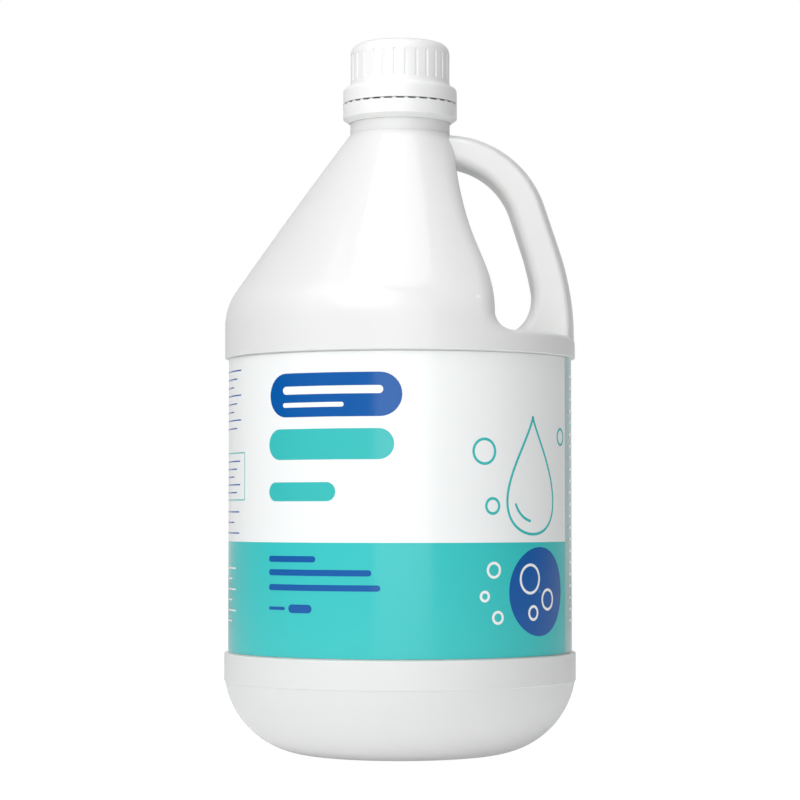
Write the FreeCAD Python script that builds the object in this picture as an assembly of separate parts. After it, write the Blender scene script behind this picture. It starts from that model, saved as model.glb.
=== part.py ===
import FreeCAD, Part
import math
import os

# Large plastic jug with a moulded-in hollow grip, a wrap-around label and a ribbed screw cap.
# Millimetres. The origin is on the jug's axis in the plane it stands on, +Z is up, and +X points to the grip.

# Body of the jug
body_r = 78.0
wall = 1.0
foot_r = 43.25
foot_land = 3.4
base_rise = 5.0
base_dish = 0.8
heel_height = 31.9
heel_bulge = 8.0
heel_step = 0.45
label_bottom = 44.4
label_height = 130.2
recess_depth = 2.0
recess_slope = 0.4
recess_round = 0.4
ring_height = 22.9
shoulder_height = 77.6
shoulder_round = 26.0
shoulder_bulge = 0.4

# Neck and the finish that the cap screws on
neck_r = 22.3
finish_step = 3.5
finish_wall = 1.4
lip_height = 38.0
lip_round = 0.6
bead_out = 1.3
bead_rise = 7.9
bead_height = 2.2
thread_depth = 1.4
thread_base = 2.4
thread_crest = 1.0
thread_pitch = 5.0
thread_turns = 1.5
thread_below_lip = 5.1
thread_sink = 0.3

# Pocket behind the grip
shelf_drop = 5.2
pocket_depth = 37.7
pocket_corner = 7.5
shelf_edge_round = 3.0
pocket_edge_round = 11.0
pocket_bend_drop = 11.6
pocket_lean = 3.4
pocket_neck_gap = 1.15
pocket_top_drop = 0.8

# Grip
grip_width = 25.0
grip_crown_r = 27.0
grip_edge_round = 2.5
grip_top_inset = 1.85
grip_top_drop = 0.1
grip_top_margin = 10.7
grip_straight = 21.2
grip_foot_inset = 0.3
grip_thickness_top = 14.0
grip_thickness_foot = 17.5
hole_top_inset = 3.85
hole_top_margin = 9.5
hole_straight = 15.9
hole_foot_round = 18.0
grip_seat = 6.0
grip_inner_round = 4.4

# Cap
collar_gap = 0.8
collar_height = 7.4
collar_round = 2.4
flare_height = 2.4
flare_dip = 0.2
skirt_wall = 1.6
collar_wall = 1.5
deck = 2.0
cap_top_round = 5.0
cap_inner_round = 2.2
flute_count = 28
flute_r = 0.75
flute_cut = 0.55
flute_top_margin = 5.7
flute_bottom_margin = 0.8

# Tamper band left on the neck
band_rise = 5.1
band_height = 8.0
band_wall = 1.5
band_heel_height = 2.0
bridge_count = 30
bridge_width = 1.6
bridge_depth = 0.9
bridge_inset = 0.15
bridge_sink = 0.4

# Liner and label
liner_thickness = 1.0
label_thickness = 0.15
label_margin = 0.3
label_lap = 8.0
label_cover = 2.0

# Clearances
band_clearance = 0.3
bridge_clearance = 0.2
bead_clearance = 0.4
liner_clearance = 0.05
thread_clearance = 0.4
label_clearance = 0.15

# Heights and radii that follow from the sizes above
panel_r = body_r - recess_depth
label_top = label_bottom + label_height
label_low_z = label_bottom + recess_slope + label_margin
label_high_z = label_top - recess_slope - label_margin
base_top_z = label_low_z + label_cover
side_top_z = label_high_z - label_cover
shoulder_z = label_top + ring_height
neck_root_z = shoulder_z + shoulder_height
shoulder_slope = (body_r - neck_r) / shoulder_height
shoulder_turn = math.atan(shoulder_slope)
shoulder_tangent = shoulder_round * math.tan(shoulder_turn / 2)
recess_turn = math.atan(recess_slope / recess_depth)
shelf_z = shoulder_z - shoulder_tangent - shelf_drop
pocket_bend_z = (shelf_z + neck_root_z) / 2 - pocket_bend_drop
bead_z = neck_root_z + bead_rise
lip_z = neck_root_z + lip_height
band_z = neck_root_z + band_rise
band_top_z = band_z + band_height
collar_z = band_top_z + collar_gap
skirt_z = collar_z + collar_height
deck_z = lip_z + liner_thickness + 2 * liner_clearance
cap_top_z = deck_z + deck
bead_r = neck_r + bead_out
finish_r = neck_r - finish_step
bore_r = finish_r - finish_wall
collar_r = bead_r + bead_clearance + band_wall
collar_inner_r = collar_r - collar_wall
skirt_inner_r = finish_r + thread_depth + thread_clearance
skirt_r = skirt_inner_r + skirt_wall
liner_r = skirt_inner_r - cap_inner_round

AXIS = FreeCAD.Vector(0, 0, 1)
ORIGIN = FreeCAD.Vector(0, 0, 0)
TOUCH = 0.0001


def xz(x, z):
    return FreeCAD.Vector(x, 0, z)


def line(p, q):
    return Part.makeLine(xz(*p), xz(*q))


def arc(p, q, bulge):
    """An arc from p to q that stands out by bulge to the right of the way it runs."""
    dx = q[0] - p[0]
    dz = q[1] - p[1]
    length = math.hypot(dx, dz)
    middle = ((p[0] + q[0]) / 2 + bulge * dz / length, (p[1] + q[1]) / 2 - bulge * dx / length)
    return Part.Arc(xz(*p), xz(*middle), xz(*q)).toShape()


def arc_about(centre, radius, start, end):
    """An arc about a centre from one angle to another, in radians from +X towards +Z."""
    points = []
    for angle in (start, (start + end) / 2, end):
        points.append(xz(centre[0] + radius * math.cos(angle), centre[1] + radius * math.sin(angle)))
    return Part.Arc(*points).toShape()


def on_circle(centre, radius, angle):
    return (centre[0] + radius * math.cos(angle), centre[1] + radius * math.sin(angle))


def turned(edges):
    """The solid that a closed outline in the XZ plane sweeps about the jug's axis."""
    face = Part.Face(Part.Wire(Part.__sortEdges__(edges)))
    return face.revolve(ORIGIN, AXIS, 360)


def polygon(points):
    return [line(p, q) for p, q in zip(points, points[1:] + points[:1]) if p != q]


def kind(edge):
    """The name of an edge's curve, or none for a point where a surface closes."""
    try:
        return type(edge.Curve).__name__
    except TypeError:
        return "none"


def ring_edges(shape, height, radius):
    """The full circles about the axis at one height and radius."""
    found = []
    for edge in shape.Edges:
        if kind(edge) != "Circle" or not edge.Closed:
            continue
        curve = edge.Curve
        if abs(curve.Radius - radius) < TOUCH and abs(curve.Center.z - height) < TOUCH:
            found.append(edge)
    return found


def bend_radii(top, foot, margin, straight):
    """The radii of two bends that lead from a level top to an upright foot, with a straight run between."""
    across = foot[0] - top[0]
    down = top[1] - foot[1]
    low_r = ((down - across) ** 2 + 2 * margin * down - straight ** 2) / (2 * margin)
    return across - margin, low_r


def shared_tangent(high, high_r, low, low_r):
    """The angle at which a line on the right touches two circles, the lower one being the larger."""
    dx = high[0] - low[0]
    dz = high[1] - low[1]
    return math.atan2(dz, dx) - math.acos((low_r - high_r) / math.hypot(dx, dz))


def middle_of(edge):
    return edge.valueAt((edge.FirstParameter + edge.LastParameter) / 2)


def rounded(shape, edges, radius):
    if not edges:
        raise ValueError("no edge to round")
    return shape.makeFillet(radius, edges)


def rounded_between(shape, edges, low_radius, high_radius, low_z, high_z):
    """Edges rounded with a radius that grows with height between two levels."""
    document = FreeCAD.newDocument("rounding")
    base = document.addObject("Part::Feature", "base")
    base.Shape = shape
    numbers = []
    for number, candidate in enumerate(shape.Edges, 1):
        if any(candidate.isSame(edge) for edge in edges):
            radii = []
            for parameter in (candidate.FirstParameter, candidate.LastParameter):
                share = (candidate.valueAt(parameter).z - low_z) / (high_z - low_z)
                radii.append(low_radius + (high_radius - low_radius) * min(1, max(0, share)))
            numbers.append((number, radii[0], radii[1]))
    feature = document.addObject("Part::Fillet", "rounding")
    feature.Base = base
    feature.Edges = numbers
    document.recompute()
    result = feature.Shape.copy()
    FreeCAD.closeDocument(document.Name)
    return result


def jug_form(inset):
    """The turned form of the jug up to its neck, drawn in by inset."""
    r = body_r - inset
    edge_shift = inset * (1 - math.sin(recess_turn)) / math.cos(recess_turn)
    foot_inner = (foot_r - foot_land, inset)
    foot_outer = (foot_r, inset)
    heel_top = (r - heel_step, heel_height)
    ring_low = (r, heel_height + heel_step)
    recess_low = (r, label_bottom - edge_shift)
    panel_low = (r - recess_depth, recess_low[1] + recess_slope)
    recess_high = (r, label_top + edge_shift)
    panel_high = (r - recess_depth, recess_high[1] - recess_slope)
    bend_low = (r, shoulder_z - shoulder_tangent)
    bend_high = (
        r - shoulder_tangent * math.sin(shoulder_turn),
        shoulder_z + shoulder_tangent * math.cos(shoulder_turn),
    )
    neck_root = (neck_r - inset, neck_root_z)
    edges = [
        arc((0, base_rise + inset), foot_inner, -base_dish),
        line(foot_inner, foot_outer),
        arc(foot_outer, heel_top, heel_bulge),
        line(heel_top, ring_low),
        line(ring_low, recess_low),
        line(recess_low, panel_low),
        line(panel_low, panel_high),
        line(panel_high, recess_high),
        line(recess_high, bend_low),
        arc(bend_low, bend_high, shoulder_round * (1 - math.cos(shoulder_turn / 2))),
        arc(bend_high, neck_root, shoulder_bulge),
        line(neck_root, (0, neck_root_z)),
        line((0, neck_root_z), (0, base_rise + inset)),
    ]
    form = turned(edges)
    soft = []
    for corner in (recess_low, panel_low, panel_high, recess_high):
        soft += ring_edges(form, corner[1], corner[0])
    return rounded(form, soft, recess_round)


def pocket_tool(inset):
    """The space behind the grip, with a curved back wall, a rounded corner and a level shelf."""
    reach = body_r + pocket_depth
    floor = shelf_z - inset
    above = neck_root_z + pocket_corner
    top = (neck_r + pocket_neck_gap - inset, neck_root_z - pocket_top_drop)
    corner_r = pocket_corner + inset
    low = (body_r - pocket_depth - inset, floor + corner_r)
    back = Part.BezierCurve()
    back.setPoles([
        xz(*low),
        xz(low[0], pocket_bend_z),
        xz(top[0] + pocket_lean, pocket_bend_z),
        xz(*top),
    ])
    corner = (low[0] + corner_r, floor)
    edges = [
        back.toShape(),
        line(top, (top[0], above)),
        line((top[0], above), (reach, above)),
        line((reach, above), (reach, floor)),
        line((reach, floor), corner),
        arc(corner, low, -corner_r * (1 - math.sqrt(0.5))),
    ]
    return through(edges, reach)


def through(edges, half_width):
    """A closed outline in the XZ plane, made solid for half_width to each side."""
    face = Part.Face(Part.Wire(Part.__sortEdges__(edges)))
    face.translate(FreeCAD.Vector(0, -half_width, 0))
    return face.extrude(FreeCAD.Vector(0, 2 * half_width, 0))


def pocket_rim(shape, inset):
    """The edges where the pocket breaks out through the jug's turned surface."""
    rim = []
    for edge in shape.Edges:
        if kind(edge) == "none" or edge.Closed:
            continue
        span = edge.LastParameter - edge.FirstParameter
        points = [edge.valueAt(edge.FirstParameter + span * share) for share in (0.25, 0.5, 0.75)]
        beyond = all(point.x > neck_r / 2 and point.z > shelf_z - inset - TOUCH for point in points)
        across = abs(edge.tangentAt(edge.FirstParameter + span / 2).y) > 1 - TOUCH
        if beyond and abs(points[1].y) > TOUCH and not across:
            rim.append(edge)
    return rim


def grip_band(inset):
    """The crowned bar of the grip, swept along the line of its outer face."""
    crest = (neck_r - grip_top_inset, neck_root_z - grip_top_drop)
    base = (body_r - grip_foot_inset, shelf_z)
    top_r, back_r = bend_radii(crest, base, grip_top_margin, grip_straight)
    high = (crest[0], crest[1] - top_r)
    low = (base[0] - back_r, base[1])
    high_r = top_r - inset
    low_r = back_r - inset
    touch = shared_tangent(high, high_r, low, low_r)
    start = (neck_r / 2, high[1] + high_r)
    top = on_circle(high, high_r, math.pi / 2)
    foot = on_circle(low, low_r, 0)
    end = (foot[0], foot[1] - grip_seat)
    path = Part.Wire([
        line(start, top),
        arc_about(high, high_r, math.pi / 2, touch),
        line(on_circle(high, high_r, touch), on_circle(low, low_r, touch)),
        arc_about(low, low_r, touch, 0),
        line(foot, end),
    ])
    half = grip_width / 2 - inset
    crown = grip_crown_r - inset
    edge_r = grip_edge_round - inset
    drop = crown - math.sqrt((crown - edge_r) ** 2 - (half - edge_r) ** 2)
    turn = math.atan2(crown - drop, half - edge_r)
    edge_top = (crown * math.cos(turn), crown - crown * math.sin(turn))
    bend = (half - edge_r + edge_r * math.cos(turn / 2), drop - edge_r * math.sin(turn / 2))
    depth = grip_thickness_foot + hole_foot_round + grip_inner_round

    def across(y, down):
        return FreeCAD.Vector(start[0], y, start[1] - down)

    section = Part.Wire([
        Part.Arc(across(-edge_top[0], edge_top[1]), across(0, 0), across(*edge_top)).toShape(),
        Part.Arc(across(*edge_top), across(*bend), across(half, drop)).toShape(),
        Part.makeLine(across(half, drop), across(half, depth)),
        Part.makeLine(across(half, depth), across(-half, depth)),
        Part.makeLine(across(-half, depth), across(-half, drop)),
        Part.Arc(across(-half, drop), across(-bend[0], bend[1]), across(-edge_top[0], edge_top[1])).toShape(),
    ])
    return path.makePipeShell([section], True, False)


def finger_hole(inset):
    """The outline that the grip leaves for the hand, grown by inset where the grip's wall is hollow."""
    reach = body_r
    floor = shelf_z - inset
    crest = (neck_r - hole_top_inset, neck_root_z - grip_top_drop - grip_thickness_top)
    base = (body_r - grip_thickness_foot, shelf_z)
    top_r, back_r = bend_radii(crest, base, hole_top_margin, hole_straight)
    high = (crest[0], crest[1] - top_r)
    low = (base[0] - back_r, base[1])
    high_r = top_r + inset
    low_r = back_r + inset
    corner_r = hole_foot_round + inset
    touch = shared_tangent(high, high_r, low, low_r)
    rise = (floor + corner_r) - low[1]
    corner_turn = math.asin(rise / (low_r - corner_r))
    corner = (low[0] + (low_r - corner_r) * math.cos(corner_turn), floor + corner_r)
    start = on_circle(high, high_r, math.pi / 2)
    edges = [
        arc_about(high, high_r, math.pi / 2, touch),
        line(on_circle(high, high_r, touch), on_circle(low, low_r, touch)),
        arc_about(low, low_r, touch, corner_turn),
        arc_about(corner, corner_r, corner_turn, -math.pi / 2),
        line((corner[0], floor), (0, floor)),
        line((0, floor), (0, start[1])),
        line((0, start[1]), start),
    ]
    return through(edges, reach)


def grip_form(inset):
    """The grip alone, with the two long edges that the fingers hold rounded."""
    hole = finger_hole(inset)
    bar = grip_band(inset).cut(hole).removeSplitter()
    held = []
    for edge in bar.Edges:
        if kind(edge) == "none":
            continue
        point = middle_of(edge)
        across = abs(edge.tangentAt((edge.FirstParameter + edge.LastParameter) / 2).y) > 0.5
        if across or point.x < neck_r - hole_top_inset or point.z < shelf_z + wall:
            continue
        if hole.Shells[0].distToShape(Part.Vertex(point))[0] < TOUCH:
            held.append(edge)
    return rounded(bar, held, grip_inner_round - inset)


def jug_body(inset):
    """The jug's turned form with the pocket cut out of it and the pocket's rim rounded, drawn in by inset."""
    form = jug_form(inset).cut(pocket_tool(inset))
    low_z = shelf_z - inset
    high_z = low_z + pocket_corner
    rim = pocket_rim(form, inset)
    return rounded_between(form, rim, shelf_edge_round - inset, pocket_edge_round - inset, low_z, high_z)


def helical_ridge(root_r, depth, base, crest, pitch, turns, low_z, outward):
    """A trapezoid ridge that climbs in a right-hand helix about the axis, sunk a little into its wall."""
    sunk = thread_sink if outward else -thread_sink
    tip = depth if outward else -depth
    helix = Part.makeHelix(pitch, pitch * turns, root_r)
    helix.translate(FreeCAD.Vector(0, 0, low_z))
    corners = [
        (root_r - sunk, low_z - base / 2),
        (root_r + tip, low_z - crest / 2),
        (root_r + tip, low_z + crest / 2),
        (root_r - sunk, low_z + base / 2),
    ]
    section = Part.Wire(polygon(corners))
    return Part.Wire(helix).makePipeShell([section], True, True)


def bottle_neck():
    """The neck with its tamper bead, the wall that the cap screws over, and the thread."""
    outline = [
        (bore_r, neck_root_z),
        (neck_r, neck_root_z),
        (neck_r, bead_z),
        (bead_r, bead_z),
        (bead_r, bead_z + bead_height / 2),
        (finish_r, bead_z + bead_height * 1.5),
        (finish_r, lip_z),
        (bore_r, lip_z),
    ]
    neck = turned(polygon(outline))
    neck = rounded(neck, ring_edges(neck, lip_z, finish_r), lip_round)
    thread_z = lip_z - thread_below_lip - thread_pitch * thread_turns
    ridge = helical_ridge(
        finish_r, thread_depth, thread_base, thread_crest, thread_pitch, thread_turns, thread_z, True
    )
    return neck.fuse(ridge)


def slab(shape, low_z, high_z):
    """The part of a shape between two levels."""
    width = 4 * body_r
    corner = FreeCAD.Vector(-width / 2, -width / 2, low_z)
    return shape.common(Part.makeBox(width, width, high_z - low_z, corner))


def blown_pieces():
    """The hollow jug in pieces that meet face to face. The label covers two of the three level joints."""
    body = jug_body(0)
    hollow = jug_body(wall).fuse(grip_form(wall))
    return {
        "bottle_base": slab(body, 0, base_top_z).cut(hollow),
        "bottle_side": slab(body, base_top_z, side_top_z).cut(hollow),
        "bottle_shoulder": slab(body, side_top_z, neck_root_z).cut(hollow),
        "bottle_grip": grip_form(0).cut(body).cut(hollow),
    }


def cap():
    """The screw cap: a plain collar, a flare, a fluted skirt, a rounded top and the thread inside."""
    flare_top = skirt_z + flare_height
    outside = [
        line((0, cap_top_z), (skirt_r - cap_top_round, cap_top_z)),
        arc_about((skirt_r - cap_top_round, cap_top_z - cap_top_round), cap_top_round, math.pi / 2, 0),
        line((skirt_r, cap_top_z - cap_top_round), (skirt_r, flare_top)),
        arc((skirt_r, flare_top), (collar_r - collar_round, skirt_z), flare_dip),
        arc_about((collar_r - collar_round, skirt_z - collar_round), collar_round, math.pi / 2, 0),
        line((collar_r, skirt_z - collar_round), (collar_r, collar_z)),
        line((collar_r, collar_z), (0, collar_z)),
        line((0, collar_z), (0, cap_top_z)),
    ]
    inner_corner = (skirt_inner_r - cap_inner_round, deck_z - cap_inner_round)
    inside = [
        line((0, collar_z), (collar_inner_r, collar_z)),
        line((collar_inner_r, collar_z), (collar_inner_r, skirt_z - collar_round)),
        line((collar_inner_r, skirt_z - collar_round), (skirt_inner_r, skirt_z)),
        line((skirt_inner_r, skirt_z), (skirt_inner_r, inner_corner[1])),
        arc_about(inner_corner, cap_inner_round, 0, math.pi / 2),
        line((inner_corner[0], deck_z), (0, deck_z)),
        line((0, deck_z), (0, collar_z)),
    ]
    shell = turned(outside).cut(turned(inside))
    low = flare_top + flute_bottom_margin
    high = cap_top_z - flute_top_margin
    axis_r = skirt_r + flute_r - flute_cut
    flute = Part.makeCylinder(flute_r, high - low, xz(axis_r, low), AXIS)
    ends = [Part.makeSphere(flute_r, xz(axis_r, z)) for z in (low, high)]
    flute = flute.fuse(ends)
    flutes = []
    for index in range(flute_count):
        copy = flute.copy()
        copy.rotate(ORIGIN, AXIS, (index + 0.5) * 360 / flute_count)
        flutes.append(copy)
    shell = shell.cut(Part.makeCompound(flutes))
    thread_z = lip_z - thread_below_lip - thread_pitch * (thread_turns + 0.5)
    depth = skirt_inner_r - finish_r - thread_clearance
    ridge = helical_ridge(
        skirt_inner_r, depth, thread_base, thread_crest, thread_pitch, thread_turns, thread_z, False
    )
    return shell.fuse(ridge)


def tamper_band():
    """The ring that stays on the neck, with a lip under the bead and the stubs of its torn bridges."""
    lip_r = neck_r + band_clearance
    inner_r = bead_r + bead_clearance
    lip_top_z = bead_z - bead_clearance
    outline = [
        (lip_r, band_z),
        (lip_r, (band_z + lip_top_z) / 2),
        (inner_r, lip_top_z),
        (inner_r, band_top_z),
        (collar_r, band_top_z),
        (collar_r, band_z + band_heel_height),
    ]
    ring = turned(polygon(outline))
    height = collar_gap - bridge_clearance + bridge_sink
    inner = collar_r - bridge_inset - bridge_depth
    corner = FreeCAD.Vector(inner, -bridge_width / 2, band_top_z - bridge_sink)
    stub = Part.makeBox(bridge_depth, bridge_width, height, corner)
    stubs = []
    for index in range(bridge_count):
        copy = stub.copy()
        copy.rotate(ORIGIN, AXIS, index * 360 / bridge_count)
        stubs.append(copy)
    return ring.fuse(stubs)


def cap_liner():
    return Part.makeCylinder(liner_r, liner_thickness, xz(0, lip_z + liner_clearance), AXIS)


def label():
    """One turn of printed film, its end glued over its start at the back."""
    low = label_low_z
    height = label_high_z - low
    inner_r = panel_r + label_clearance
    outer_r = inner_r + label_thickness
    film = Part.makeCylinder(outer_r, height, xz(0, low), AXIS)
    film = film.cut(Part.makeCylinder(inner_r, height, xz(0, low), AXIS))
    lap_angle = math.degrees(label_lap / outer_r)
    section = polygon([
        (outer_r, low),
        (outer_r + label_thickness, low),
        (outer_r + label_thickness, low + height),
        (outer_r, low + height),
    ])
    lap = Part.Face(Part.Wire(section)).revolve(ORIGIN, AXIS, lap_angle)
    lap.rotate(ORIGIN, AXIS, 90)
    return film.fuse(lap)


def save(name, shape):
    shape = shape.removeSplitter()
    solid = shape.Solids[0] if len(shape.Solids) == 1 else Part.makeCompound(shape.Solids)
    solid.exportStep("parts/" + name + ".step")
    print(name, len(shape.Solids), "solid", shape.isValid(), round(solid.Volume), "cubic mm")


os.makedirs("parts", exist_ok=True)
for piece_name, piece in blown_pieces().items():
    save(piece_name, piece)
save("bottle_neck", bottle_neck())
save("cap", cap())
save("tamper_band", tamper_band())
save("cap_liner", cap_liner())
save("label", label())
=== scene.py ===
# %% [markdown]
# # A white jug with a moulded-in grip, its label and its screw cap
#
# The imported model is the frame: it holds every piece at its real size, in metres. This lesson dresses that
# frame. It gives the plastics their finish, makes the printed label as a surface of its own, and sets up a
# plain studio. The axis of the jug is Z, the grip points along +X, and the middle of the label's front faces
# -Y.

import math

import bpy
import numpy as np
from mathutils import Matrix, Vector


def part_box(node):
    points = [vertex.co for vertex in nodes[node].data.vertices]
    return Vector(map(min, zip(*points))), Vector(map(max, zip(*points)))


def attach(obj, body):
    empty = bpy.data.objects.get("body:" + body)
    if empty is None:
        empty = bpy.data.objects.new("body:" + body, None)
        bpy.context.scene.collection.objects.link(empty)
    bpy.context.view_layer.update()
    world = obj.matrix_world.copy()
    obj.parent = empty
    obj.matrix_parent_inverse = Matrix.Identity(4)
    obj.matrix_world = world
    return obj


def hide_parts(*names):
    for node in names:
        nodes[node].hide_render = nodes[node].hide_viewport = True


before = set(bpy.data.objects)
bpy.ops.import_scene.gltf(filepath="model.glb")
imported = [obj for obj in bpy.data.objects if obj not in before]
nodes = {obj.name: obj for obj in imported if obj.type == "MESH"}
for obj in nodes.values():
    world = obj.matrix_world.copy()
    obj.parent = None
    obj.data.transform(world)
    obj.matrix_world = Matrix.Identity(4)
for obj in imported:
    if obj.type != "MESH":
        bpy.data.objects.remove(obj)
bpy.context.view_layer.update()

# %% [markdown]
# ## Helpers
#
# Colours are written as sRGB hex, the way a maker reads them off a swatch, and one function turns them into
# the linear values that the shaders work in. Another adds any node with its settings and its links, so that
# a material reads as a short list of what happens to its surface.

# %% Helpers for colours and nodes
MM = 0.001
WHITE = (1, 1, 1, 1)


def linear(code):
    """The linear colour of an sRGB hex code: a straight line for the darkest values, a power above them."""
    channels = [int(code[i : i + 2], 16) / 255 for i in (1, 3, 5)]
    return tuple(c / 12.92 if c <= 0.04045 else ((c + 0.055) / 1.055) ** 2.4 for c in channels) + (1.0,)


def material(name):
    """A new material with an empty node tree and its surface output."""
    made = bpy.data.materials.new(name)
    made.use_nodes = True
    made.node_tree.nodes.clear()
    node(made, "OutputMaterial", name="out")
    return made


def node(owner, kind, name=None, inputs=None, links=None, **settings):
    """Adds a shader node. inputs holds plain values by socket, links holds the sockets that feed it."""
    tree = owner.node_tree
    made = tree.nodes.new("ShaderNode" + kind)
    if name:
        made.name = name
    for key, value in settings.items():
        setattr(made, key, value)
    for socket, value in (inputs or {}).items():
        made.inputs[socket].default_value = value
    for socket, source in (links or {}).items():
        tree.links.new(source, made.inputs[socket])
    return made


def finish_material(owner, shader):
    """Joins a shader to the material's surface output."""
    owner.node_tree.links.new(shader.outputs[0], owner.node_tree.nodes["out"].inputs["Surface"])
    return owner


def dress(target, finish):
    """Gives every slot of a carried-over piece one material."""
    target.data.materials.clear()
    target.data.materials.append(finish)


# %% [markdown]
# ## The camera
#
# A product picture is taken with a long lens from a little above a metre away, level with the middle of the
# label. The camera is tipped up slightly, so the shoulder leans in a touch. Its place, its tilt and its focal
# length are fitted to the shoulder's ring, the label's edges and the foot in the picture. The focal length is
# written in pixels of that picture, and the lens follows from it and the sensor's width.

# %% Camera
IMAGE_PX = 800
FOCAL_PX = 2626
SENSOR_MM = 36
EYE_HEIGHT = 106.5 * MM
EYE_DISTANCE = 1171.7 * MM
TILT_UP = math.radians(2.44)

camera_data = bpy.data.cameras.new("camera")
camera_data.sensor_width = SENSOR_MM
camera_data.lens = FOCAL_PX * SENSOR_MM / IMAGE_PX
camera = bpy.data.objects.new("camera", camera_data)
camera.location = (0, -EYE_DISTANCE, EYE_HEIGHT)
camera.rotation_euler = (math.pi / 2 + TILT_UP, 0, 0)
bpy.context.collection.objects.link(camera)
bpy.context.scene.camera = camera
print("lens", round(camera_data.lens, 1), "mm")

# %% [markdown]
# ## Blow-moulded polyethylene
#
# The jug is high-density polyethylene, coloured white in the mass and blown against a sand-blasted mould. The
# blast leaves a satin skin with a very fine tooth, and the resin's own gloss lies thinly over it. A rough
# base under a smooth, weak coat shows both: broad soft light, and a faint clear highlight on top. Light sinks
# a millimetre or two into the resin before it comes back, so edges look soft.

# %% Jug material
POLYETHYLENE_IOR = 1.54
# A blasted mould's tooth is finer than a pixel, so it is drawn at about two pixels.
BLAST_GRAIN = 0.9 * MM
TOOTH_DEPTH = 0.02 * MM
EVEN_SCATTER = (1.0, 1.0, 1.0)


def polyethylene():
    """Satin white resin: a fine tooth in the bump, a thin clear gloss, and a little light under the skin."""
    made = material("blown_polyethylene")
    place = node(made, "TexCoord").outputs["Object"]
    tooth = node(made, "TexNoise", inputs={"Scale": 1 / BLAST_GRAIN, "Detail": 2.0}, links={"Vector": place})
    fine = node(
        made,
        "Bump",
        inputs={"Strength": 0.10, "Distance": TOOTH_DEPTH},
        links={"Height": tooth.outputs["Fac"]},
    )
    resin = node(
        made,
        "BsdfPrincipled",
        inputs={
            "Base Color": linear("#E3E4E3"),
            "Roughness": 0.45,
            "Coat Weight": 0.4,
            "Coat Roughness": 0.07,
            "IOR": POLYETHYLENE_IOR,
            "Subsurface Weight": 0.25,
            "Subsurface Radius": EVEN_SCATTER,
            "Subsurface Scale": 1.5 * MM,
        },
        links={"Normal": fine.outputs["Normal"]},
    )
    return finish_material(made, resin)


JUG_WHITE = polyethylene()
JUG_PARTS = ("bottle_base", "bottle_side", "bottle_shoulder", "bottle_grip", "bottle_neck")
for part_name in JUG_PARTS:
    dress(nodes[part_name], JUG_WHITE)
print(JUG_WHITE.name, "on", len(JUG_PARTS), "pieces")

# %% [markdown]
# ## Injection-moulded polypropylene
#
# The cap and its tamper band come from a polished steel mould, so they are a shade smoother and whiter than
# the jug. The foamed wad inside the cap is dull, with closed cells about half a millimetre across.

# %% Cap, band and liner materials
POLYPROPYLENE_IOR = 1.49
FLOW_MARK = 6 * MM
FLOW_DEPTH = 0.05 * MM
FOAM_CELL = 0.5 * MM
CELL_DEPTH = 0.1 * MM


def polypropylene():
    """Smooth white resin. The faint flow marks of injection change both its level and its gloss."""
    made = material("moulded_polypropylene")
    place = node(made, "TexCoord").outputs["Object"]
    flow = node(made, "TexNoise", inputs={"Scale": 1 / FLOW_MARK, "Detail": 2.0}, links={"Vector": place})
    bump = node(
        made,
        "Bump",
        inputs={"Strength": 0.06, "Distance": FLOW_DEPTH},
        links={"Height": flow.outputs["Fac"]},
    )
    gloss = node(
        made,
        "MapRange",
        inputs={"To Min": 0.27, "To Max": 0.33},
        links={"Value": flow.outputs["Fac"]},
    )
    resin = node(
        made,
        "BsdfPrincipled",
        inputs={
            "Base Color": linear("#ECEDEC"),
            "IOR": POLYPROPYLENE_IOR,
            "Subsurface Weight": 0.2,
            "Subsurface Radius": EVEN_SCATTER,
            "Subsurface Scale": 1.0 * MM,
        },
        links={"Normal": bump.outputs["Normal"], "Roughness": gloss.outputs["Result"]},
    )
    return finish_material(made, resin)


def foam():
    """Dull foamed wad: small closed cells as bumps."""
    made = material("foamed_wad")
    place = node(made, "TexCoord").outputs["Object"]
    cells = node(made, "TexVoronoi", inputs={"Scale": 1 / FOAM_CELL}, links={"Vector": place})
    bump = node(
        made,
        "Bump",
        inputs={"Strength": 0.3, "Distance": CELL_DEPTH},
        links={"Height": cells.outputs["Distance"]},
    )
    resin = node(
        made,
        "BsdfPrincipled",
        inputs={"Base Color": linear("#E9E9E4"), "Roughness": 0.75},
        links={"Normal": bump.outputs["Normal"]},
    )
    return finish_material(made, resin)


CAP_WHITE = polypropylene()
LINER_FOAM = foam()
dress(nodes["cap"], CAP_WHITE)
dress(nodes["tamper_band"], CAP_WHITE)
dress(nodes["cap_liner"], LINER_FOAM)
print(CAP_WHITE.name, "on cap and band,", LINER_FOAM.name, "on the liner")

# %% [markdown]
# ## The label
#
# The label is a thin plastic film, printed on a press and wrapped once round the jug. Its end is glued over
# its start at the back. A film has no useful section of its own, so it is a grid with two parameters: the arc
# length from the middle of the front, and the height. The same two numbers are its UV map, in metres, and the
# print follows them.

# %% A grid rolled onto the jug
label_low, label_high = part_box("label")
FILM_THICKNESS = 0.15 * MM
FILM_R = label_high.x
LABEL_LOW_Z = label_low.z
LABEL_HIGH_Z = label_high.z
print("label radius", round(FILM_R, 5), "from", round(LABEL_LOW_Z, 4), "to", round(LABEL_HIGH_Z, 4))


def rolled(arc, height, lift=0.0):
    """Points on the film: the angle is the arc length over the film's radius, taken from -Y towards +X."""
    arc, height, lift = np.broadcast_arrays(arc, height, lift)
    angle = arc / FILM_R
    radius = FILM_R + lift
    return np.stack([radius * np.sin(angle), -radius * np.cos(angle), height], axis=-1)


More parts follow.
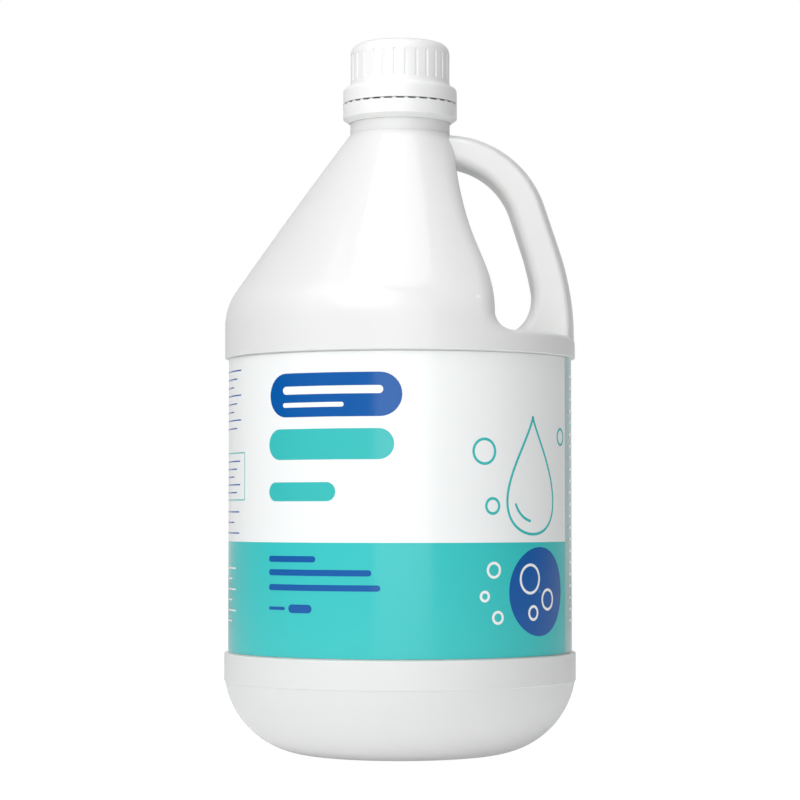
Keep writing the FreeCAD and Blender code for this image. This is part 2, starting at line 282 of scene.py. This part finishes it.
def grid_faces(rows, columns, first=0):
    """Four-cornered faces between neighbouring rows and columns of a grid of points."""
    corner = first + np.arange(rows - 1)[:, None] * columns + np.arange(columns - 1)[None, :]
    return np.stack([corner, corner + 1, corner + columns + 1, corner + columns], axis=-1).reshape(-1, 4)


def mesh_object(name, points, faces, finish):
    """A mesh piece from arrays of points and faces, smooth inside and sharp along its border.

    A side of a face that only one face uses lies on the border.
    """
    mesh = bpy.data.meshes.new(name)
    mesh.from_pydata(points.reshape(-1, 3).tolist(), [], faces.tolist())
    mesh.polygons.foreach_set("use_smooth", np.ones(len(mesh.polygons), bool))
    sides = np.sort(np.stack([faces, np.roll(faces, -1, axis=1)], axis=-1).reshape(-1, 2), axis=1)
    sides, uses = np.unique(sides, axis=0, return_counts=True)
    border = {tuple(side) for side in sides[uses == 1].tolist()}
    for edge in mesh.edges:
        edge.use_edge_sharp = tuple(sorted(edge.vertices)) in border
    mesh.materials.append(finish)
    mesh.update()
    made = bpy.data.objects.new(name, mesh)
    bpy.context.collection.objects.link(made)
    return made


def thicken(target, thickness):
    """Gives a sheet its wall, inwards from the surface that was worked out."""
    wall = target.modifiers.new("wall", "SOLIDIFY")
    wall.thickness = thickness
    wall.offset = -1


# %% [markdown]
# ## The label's printed fields
#
# The film is white above and teal below, with one greyed teal panel on the right-hand side. Large fields of
# one ink are best drawn in the material, from the UV map: a step in the arc length or the height is an edge
# of the field. A gloss varnish covers all of them, so they share one shader and only their colour changes.

# %% Film material
FIELD_EDGE_Z = 93.6 * MM
SIDE_PANEL_FROM = 94.0 * MM
SIDE_PANEL_TO = 190.0 * MM
WHITE_FIELD = "#F3F5F5"
TEAL_FIELD = "#37C3C2"
PANEL_FIELD = "#9CC5C3"
VARNISH = {"Roughness": 0.16, "IOR": 1.5}


def film():
    """Varnished film: white over teal, and a greyed teal panel on the right-hand side."""
    made = material("printed_film")
    place = node(made, "UVMap", uv_map="print")
    part = node(made, "SeparateXYZ", links={"Vector": place.outputs["UV"]})
    arc = part.outputs["X"]
    height = part.outputs["Y"]
    above = node(made, "Math", operation="GREATER_THAN", inputs={1: FIELD_EDGE_Z}, links={0: height})
    after = node(made, "Math", operation="GREATER_THAN", inputs={1: SIDE_PANEL_FROM}, links={0: arc})
    before = node(made, "Math", operation="LESS_THAN", inputs={1: SIDE_PANEL_TO}, links={0: arc})
    panel = node(made, "Math", operation="MULTIPLY", links={0: after.outputs[0], 1: before.outputs[0]})
    front = node(
        made,
        "Mix",
        data_type="RGBA",
        inputs={"A": linear(TEAL_FIELD), "B": linear(WHITE_FIELD)},
        links={"Factor": above.outputs[0]},
    )
    fields = node(
        made,
        "Mix",
        data_type="RGBA",
        inputs={"B": linear(PANEL_FIELD)},
        links={"Factor": panel.outputs[0], "A": front.outputs["Result"]},
    )
    varnish = node(made, "BsdfPrincipled", inputs=VARNISH, links={"Base Color": fields.outputs["Result"]})
    return finish_material(made, varnish)


PRINTED_FILM = film()
print(PRINTED_FILM.name, "with the teal field up to", round(FIELD_EDGE_Z, 4))

# %% Film piece
FILM_COLUMNS = 481
FILM_ROWS = 3
LAP = 8 * MM
CLIMB = 1 * MM
GLUE = 0.02 * MM


def film_piece():
    """The film as a thin wall. Past one whole turn it climbs by its own thickness and lies over its start."""
    turn = 2 * math.pi * FILM_R
    arc = np.linspace(-turn / 2, turn / 2 + LAP, FILM_COLUMNS)
    height = np.linspace(LABEL_LOW_Z, LABEL_HIGH_Z, FILM_ROWS)
    climb = np.clip((arc - turn / 2 + CLIMB) / CLIMB, 0, 1) * (FILM_THICKNESS + GLUE)
    outer = rolled(arc[None, :], height[:, None], climb[None, :])
    made = mesh_object("label_film", outer, grid_faces(FILM_ROWS, FILM_COLUMNS), PRINTED_FILM)
    layer = made.data.uv_layers.new(name="print")
    corners = np.zeros(len(made.data.loops), np.int32)
    made.data.loops.foreach_get("vertex_index", corners)
    sheet = np.stack(np.broadcast_arrays(arc[None, :], height[:, None]), axis=-1).reshape(-1, 2)
    layer.uv.foreach_set("vector", sheet[corners].astype(np.float32).ravel())
    thicken(made, FILM_THICKNESS)
    return made


label_film = film_piece()
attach(label_film, "bottle")
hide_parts("label")
print("label film", len(label_film.data.polygons), "faces")

# %% [markdown]
# ## Shapes printed over the fields
#
# Small printed shapes need crisp edges, so each is a patch of ink: a grid of arc lengths and heights that is
# rolled onto the film. Three functions make all of them. One is a bar with round ends, one a disc, and one
# carries a pen of constant width along a path, for outlines. Plain bars stand for the lines of text that a
# label has.

# %% Patches of ink
STEP = 2 * MM
CORNER_STEPS = 9
ROUND_STEPS = 64
DISC_RINGS = 6
DISC_PINHOLE = 0.02
DROP_STEPS = 96
DROP_POWER = 1.6
ink_patches = {"blue": [], "teal": [], "white": []}


def bar(ink, left, middle, width, tall, round_by=None):
    """A bar with round corners: near each end its half height follows a quarter circle."""
    corner = min(tall / 2 if round_by is None else round_by, tall / 2)
    sweep = np.linspace(0, math.pi / 2, CORNER_STEPS)
    half = tall / 2 - corner + corner * np.cos(sweep)[::-1]
    straight = np.linspace(corner, width - corner, 2 + int((width - 2 * corner) / STEP))[1:-1]
    start = corner - corner * np.sin(sweep)[::-1]
    end = width - corner + corner * np.sin(sweep)
    along = np.concatenate([start, straight, end])
    reach = np.concatenate([half, np.full(len(straight), tall / 2), half[::-1]])
    across = np.linspace(-1, 1, 3)[:, None]
    ink_patches[ink].append((left + along[None, :] + 0 * across, middle + across * reach[None, :]))


def pen(ink, arc, height, width, closed=False):
    """A line of constant width: each point of the path steps half a width to its right and to its left."""
    if closed:
        along_arc = np.roll(arc, -1) - np.roll(arc, 1)
        along_height = np.roll(height, -1) - np.roll(height, 1)
    else:
        along_arc = np.gradient(arc)
        along_height = np.gradient(height)
    length = np.hypot(along_arc, along_height)
    side = np.array([-0.5, 0.5])[:, None] * width
    wide_arc = arc - side * along_height / length
    wide_height = height + side * along_arc / length
    if closed:
        wide_arc = np.concatenate([wide_arc, wide_arc[:, :1]], axis=1)
        wide_height = np.concatenate([wide_height, wide_height[:, :1]], axis=1)
    ink_patches[ink].append((wide_arc, wide_height))


def circle(middle_arc, middle_height, radius):
    """Points evenly spaced round a circle."""
    turn = np.linspace(0, 2 * math.pi, ROUND_STEPS, endpoint=False)
    return middle_arc + radius * np.cos(turn), middle_height + radius * np.sin(turn)


def disc(ink, middle_arc, middle_height, radius):
    """A circle of ink: rings that shrink from its rim to a fiftieth of its radius, where a pinhole is left."""
    turn = np.linspace(0, 2 * math.pi, ROUND_STEPS + 1)[None, :]
    shrink = np.linspace(1, DISC_PINHOLE, DISC_RINGS)[:, None] * radius
    ink_patches[ink].append((middle_arc + shrink * np.cos(turn), middle_height + shrink * np.sin(turn)))


def drop(middle_arc, middle_height, spread, tall):
    """A water drop with its tip up, where the turn is 0.

    Its height follows the cosine of the turn. Its half width is the spread times the sine of the turn, times
    the sine of half the turn to a power, which draws the tip to a point.
    """
    turn = np.linspace(0, 2 * math.pi, DROP_STEPS, endpoint=False)
    half = np.abs(np.sin(turn / 2)) ** DROP_POWER
    return middle_arc - spread * np.sin(turn) * half, middle_height + tall / 2 * np.cos(turn)


# %% [markdown]
# ## The layout of the print
#
# A layout is read off in millimetres on the flat film: how far to the right of the middle of the front, and
# how far above the foot of the jug. It is easier to follow as short lists of sizes, which the helpers turn
# into metres. Along the arc, left of the middle is negative.

# %% Layout helpers in millimetres
PEN = 1.15 * MM


def bars(ink, rows):
    """Bars, from rows of left end, middle height, width and height."""
    for row in rows:
        bar(ink, *(size * MM for size in row))


def text_rows(ink, left, top, pitch, count, tall, widths):
    """Bars one below the other from the top one's middle, with the widths taken in turn."""
    for row in range(count):
        bars(ink, [(left, top - pitch * row, widths[row % len(widths)], tall)])


def rings(ink, rows):
    """Circles drawn with the pen, from rows of middle arc, middle height and radius."""
    for row in rows:
        pen(ink, *circle(*(size * MM for size in row)), PEN, closed=True)


# %% The front of the label
LEFT_EDGE = -62.4

bars("blue", [(-61.7, 155.8, 62.7, 18.6)])
bars("white", [(-54.0, 157.8, 47.0, 3.4), (-54.0, 151.6, 30.0, 2.0)])
bars("teal", [(LEFT_EDGE, 135.0, 60.0, 13.0), (LEFT_EDGE, 115.0, 34.7, 8.0)])
bars("blue", [(LEFT_EDGE, middle, width, 2.6) for middle, width in ((86.6, 25.4), (80.9, 50.4), (74.6, 54.2))])
bars("blue", [(LEFT_EDGE, 65.7, 9.6, 1.4), (-50.8, 65.7, 12.0, 3.6)])
print("patches on the front", {ink: len(patches) for ink, patches in ink_patches.items()})

# %% The picture on the right of the front
DROP_ARC = 64 * MM
DROP_MIDDLE = 122 * MM
DROP_SPREAD = 22.32 * MM
DROP_TALL = 50 * MM
SHEEN_MIDDLE = 114 * MM
SHEEN_R = 11.5 * MM

pen("teal", *drop(DROP_ARC, DROP_MIDDLE, DROP_SPREAD, DROP_TALL), PEN, closed=True)
sheen = np.linspace(math.radians(200), math.radians(262), 24)
pen("teal", DROP_ARC + SHEEN_R * np.cos(sheen), SHEEN_MIDDLE + SHEEN_R * np.sin(sheen), PEN)
rings("teal", [(37, 132, 5.2), (41, 109, 3.2), (87.5, 139, 3.4)])
disc("blue", 68.5 * MM, 72.5 * MM, 19.0 * MM)
rings("white", [(62, 78, 6.0), (74.5, 69, 4.2), (64, 63.5, 2.8)])
rings("white", [(41.5, 82, 3.0), (37, 71, 1.9), (43.5, 62, 2.4)])
print("patches with the picture", {ink: len(patches) for ink, patches in ink_patches.items()})

# %% The side panels
RIGHT_TEXT = 72
LEFT_BLOCK = -150
FRAME_RIGHT = -82
FRAME_LOW = 111.7
FRAME_HIGH = 132.1
FRAME_LINE = 0.5
FRAME_CORNER = 0.2 * MM

ragged = [RIGHT_TEXT * (0.82 + 0.18 * math.sin(2.3 * row)) for row in range(22)]
text_rows("white", 101, 166, 5.1, 22, 1.3, ragged)
for edge in (FRAME_LOW, FRAME_HIGH):
    bars("teal", [(LEFT_BLOCK, edge, FRAME_RIGHT - LEFT_BLOCK, FRAME_LINE)])
for edge in (LEFT_BLOCK, FRAME_RIGHT):
    bar(
        "teal",
        (edge - FRAME_LINE / 2) * MM,
        (FRAME_LOW + FRAME_HIGH) / 2 * MM,
        FRAME_LINE * MM,
        (FRAME_HIGH - FRAME_LOW) * MM,
        round_by=FRAME_CORNER,
    )
text_rows("blue", -147, 128.5, 3.4, 5, 0.6, (60, 56, 52))
text_rows("blue", LEFT_BLOCK, 106.5, 4.6, 3, 0.6, (62, 55))
text_rows("blue", LEFT_BLOCK, 168, 3.6, 8, 0.6, (64, 59, 54))
text_rows("white", LEFT_BLOCK, 82, 4.6, 6, 0.7, (58, 52))
print("patches in all", {ink: len(patches) for ink, patches in ink_patches.items()})

# %% [markdown]
# ## Inks
#
# The inks of the patches have colours of their own, and their teal and white are a touch apart from those of
# the wide fields. White is printed last, so it lies over the others.

# %% Ink materials and pieces
INK_COLOUR = {"blue": "#0557A4", "teal": "#3CBDBB", "white": "#F4F6F6"}
INK_LIFT = {"blue": 0.05 * MM, "teal": 0.05 * MM, "white": 0.10 * MM}
INK_THICKNESS = 0.03 * MM
PRESS_MOTTLE = 1.5 * MM


def ink_material(name, code):
    """Printing ink under the same varnish as the film, with the slight mottle of a press."""
    made = material(name)
    place = node(made, "TexCoord").outputs["Object"]
    mottle = node(
        made,
        "TexNoise",
        inputs={"Scale": 1 / PRESS_MOTTLE, "Detail": 2.0},
        links={"Vector": place},
    )
    tone = node(
        made,
        "MapRange",
        inputs={"To Min": 0.97, "To Max": 1.03},
        links={"Value": mottle.outputs["Fac"]},
    )
    colour = node(
        made,
        "VectorMath",
        operation="SCALE",
        inputs={0: linear(code)[:3]},
        links={"Scale": tone.outputs["Result"]},
    )
    varnish = node(made, "BsdfPrincipled", inputs=VARNISH, links={"Base Color": colour.outputs["Vector"]})
    return finish_material(made, varnish)


def ink_piece(name, patches, lift, finish):
    """All patches of one ink as one thin piece that lies on the film, lifted off it by a hair."""
    points = []
    faces = []
    count = 0
    for arc, height in patches:
        grid = rolled(arc, height, lift)
        faces.append(grid_faces(*arc.shape, first=count))
        points.append(grid.reshape(-1, 3))
        count += arc.size
    made = mesh_object(name, np.concatenate(points), np.concatenate(faces), finish)
    thicken(made, INK_THICKNESS)
    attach(made, "bottle")
    print(name, len(patches), "patches", len(made.data.polygons), "faces")


for ink, patches in ink_patches.items():
    ink_name = "ink_" + ink
    ink_piece(ink_name, patches, INK_LIFT[ink], ink_material(ink_name, INK_COLOUR[ink]))

# %% [markdown]
# ## The studio
#
# The jug stands on a white sweep under large soft lights. The camera sees the sweep and the backdrop as paper
# white. Any other light meets pale paint with a faint glow of its own, which lifts the jug's underside without
# burning it out. The world adds a fill that is strongest straight behind the jug, weaker straight in front of
# it, and nothing at the sides and overhead.

# %% Floor and world
FILL_FRONT = 0.34
FILL_BACK = 0.72
FLOOR_GLOW = 0.20
PAPER_GLOW = 1.06
PAPER_GLOW_SHARE = 0.9
FLOOR_HALF = 3.0
FLOOR_CORNERS = np.array([[-1, -1, 0], [1, -1, 0], [1, 1, 0], [-1, 1, 0]])

world = bpy.data.worlds.new("studio")
world.use_nodes = True
bpy.context.scene.world = world
world.node_tree.nodes.clear()


def studio_world():
    """White where a camera or clear plastic looks at it, and for all other light a fill.

    The fill's strength is in proportion to how far a direction points along -Y or along +Y.
    """
    ray = node(world, "LightPath")
    way = node(world, "SeparateXYZ", links={"Vector": node(world, "TexCoord").outputs["Generated"]})
    front = node(world, "MapRange", inputs={"From Min": -1, "From Max": 0, "To Min": FILL_FRONT, "To Max": 0})
    back = node(world, "MapRange", inputs={"To Max": FILL_BACK})
    for half in (front, back):
        world.node_tree.links.new(way.outputs["Y"], half.inputs["Value"])
    both = node(world, "Math", operation="ADD", links={0: front.outputs["Result"], 1: back.outputs["Result"]})
    seen = node(
        world,
        "Math",
        operation="MAXIMUM",
        links={0: ray.outputs["Is Camera Ray"], 1: ray.outputs["Is Transmission Ray"]},
    )
    backdrop = node(world, "Background", inputs={"Color": WHITE, "Strength": 1.0})
    fill = node(world, "Background", inputs={"Color": WHITE}, links={"Strength": both.outputs[0]})
    pick = node(world, "MixShader", links={0: seen.outputs[0], 1: fill.outputs[0], 2: backdrop.outputs[0]})
    out = node(world, "OutputWorld")
    world.node_tree.links.new(pick.outputs[0], out.inputs["Surface"])


def paper():
    """Matte white paper, mostly self-lit to the camera so that only the jug's own shadow tints it."""
    made = material("studio_paper")
    ray = node(made, "LightPath")
    paint = node(made, "BsdfDiffuse", inputs={"Color": linear("#F2F2F2")})
    faint = node(made, "Emission", inputs={"Color": WHITE, "Strength": FLOOR_GLOW})
    lit = node(made, "AddShader", links={0: paint.outputs[0], 1: faint.outputs[0]})
    glow = node(made, "Emission", inputs={"Color": WHITE, "Strength": PAPER_GLOW})
    share = node(
        made,
        "Math",
        operation="MULTIPLY",
        inputs={1: PAPER_GLOW_SHARE},
        links={0: ray.outputs["Is Camera Ray"]},
    )
    both = node(made, "MixShader", links={0: share.outputs[0], 1: lit.outputs[0], 2: glow.outputs[0]})
    return finish_material(made, both)


studio_world()
floor = mesh_object("floor", FLOOR_CORNERS * FLOOR_HALF, np.array([[0, 1, 2, 3]]), paper())
print("floor", 2 * FLOOR_HALF, "m across, fill", FILL_FRONT, "from the front and", FILL_BACK, "from behind")

# %% [markdown]
# ## The lights
#
# The picture is lit softly from high up and from the left, and its right side falls off into grey. Five wide
# soft boxes make that: a key a little to the left, one overhead that draws the shoulder, one straight in
# front that lifts the label, and two at the far left, one above the other. Three boxes a few centimetres
# across are there for the small glints on the shoulder's bend. First powers came from renders of wide boxes
# in about these directions, one at a time, matched to the greys of the white plastic. Places, sizes and
# powers were then set one by one.

# %% Lights
JUG_MIDDLE = Vector((0, 0, 0.16))
# Name, azimuth and elevation in degrees, distance, width and height in metres, power in watts.
SOFT_BOXES = (
    ("key", -22, 34, 1.1, 0.7, 0.6, 3.9),
    ("overhead", -14, 76, 1.6, 1.0, 1.0, 9.4),
    ("front", 2, 10, 1.7, 1.15, 1.2, 5.4),
    ("left", -60, 20, 1.9, 1.0, 1.0, 1.5),
    ("left_high", -60, 50, 1.9, 1.0, 1.0, 4.8),
    ("shoulder_spark_left", -48, 38, 1.8, 0.06, 0.03, 0.5),
    ("shoulder_spark_middle", -21, 38, 1.8, 0.12, 0.03, 0.6),
    ("shoulder_spark_right", 57, 36, 1.8, 0.03, 0.06, 0.4),
)


def soft_box(name, azimuth, elevation, distance, width, tall, power):
    """A soft box that faces the jug. Its azimuth goes from the camera's side towards the grip."""
    data = bpy.data.lights.new(name, "AREA")
    data.shape = "RECTANGLE"
    data.size = width
    data.size_y = tall
    data.energy = power
    around = math.radians(azimuth)
    above = math.radians(elevation)
    way = Vector((math.cos(above) * math.sin(around), -math.cos(above) * math.cos(around), math.sin(above)))
    made = bpy.data.objects.new(name, data)
    made.location = JUG_MIDDLE + distance * way
    made.rotation_euler = (-way).to_track_quat("-Z", "Y").to_euler()
    bpy.context.collection.objects.link(made)


for box in SOFT_BOXES:
    soft_box(*box)
print(len(SOFT_BOXES), "soft boxes")

# %% [markdown]
# ## Close
#
# The view transform stays plain.

# %% Finish
bpy.context.scene.view_settings.view_transform = "Standard"
